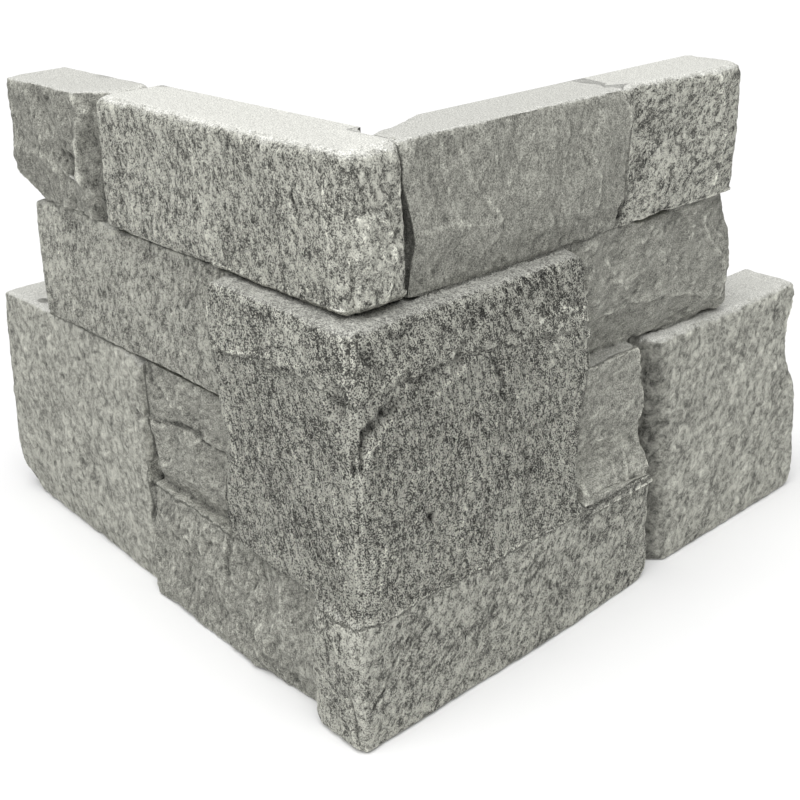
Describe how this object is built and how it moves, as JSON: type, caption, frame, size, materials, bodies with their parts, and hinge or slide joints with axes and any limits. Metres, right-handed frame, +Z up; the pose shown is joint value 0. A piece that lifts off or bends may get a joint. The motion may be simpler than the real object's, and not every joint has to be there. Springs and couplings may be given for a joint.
{
  "type": "stone cladding corner piece",
  "caption": "L-shaped cast stone cladding piece that wraps an outside wall corner, with staggered courses of worn and split stones on both wings.",
  "frame": {"origin": "the wall's arris at the level of the underside: where the backs of the two wings meet, at the bottom", "axes": "+Z up along the wall's arris, +Y out of the left wing's back and along the right wing, -X out of the right wing's back and along the left wing"},
  "size_m": [0.2649, 0.2684, 0.2],
  "materials": {
    "stone": "matt, pitted and split grey cast stone"
  },
  "bodies": {
    "root": {"corner_panel": "stone"}
  },
  "joints": []
}
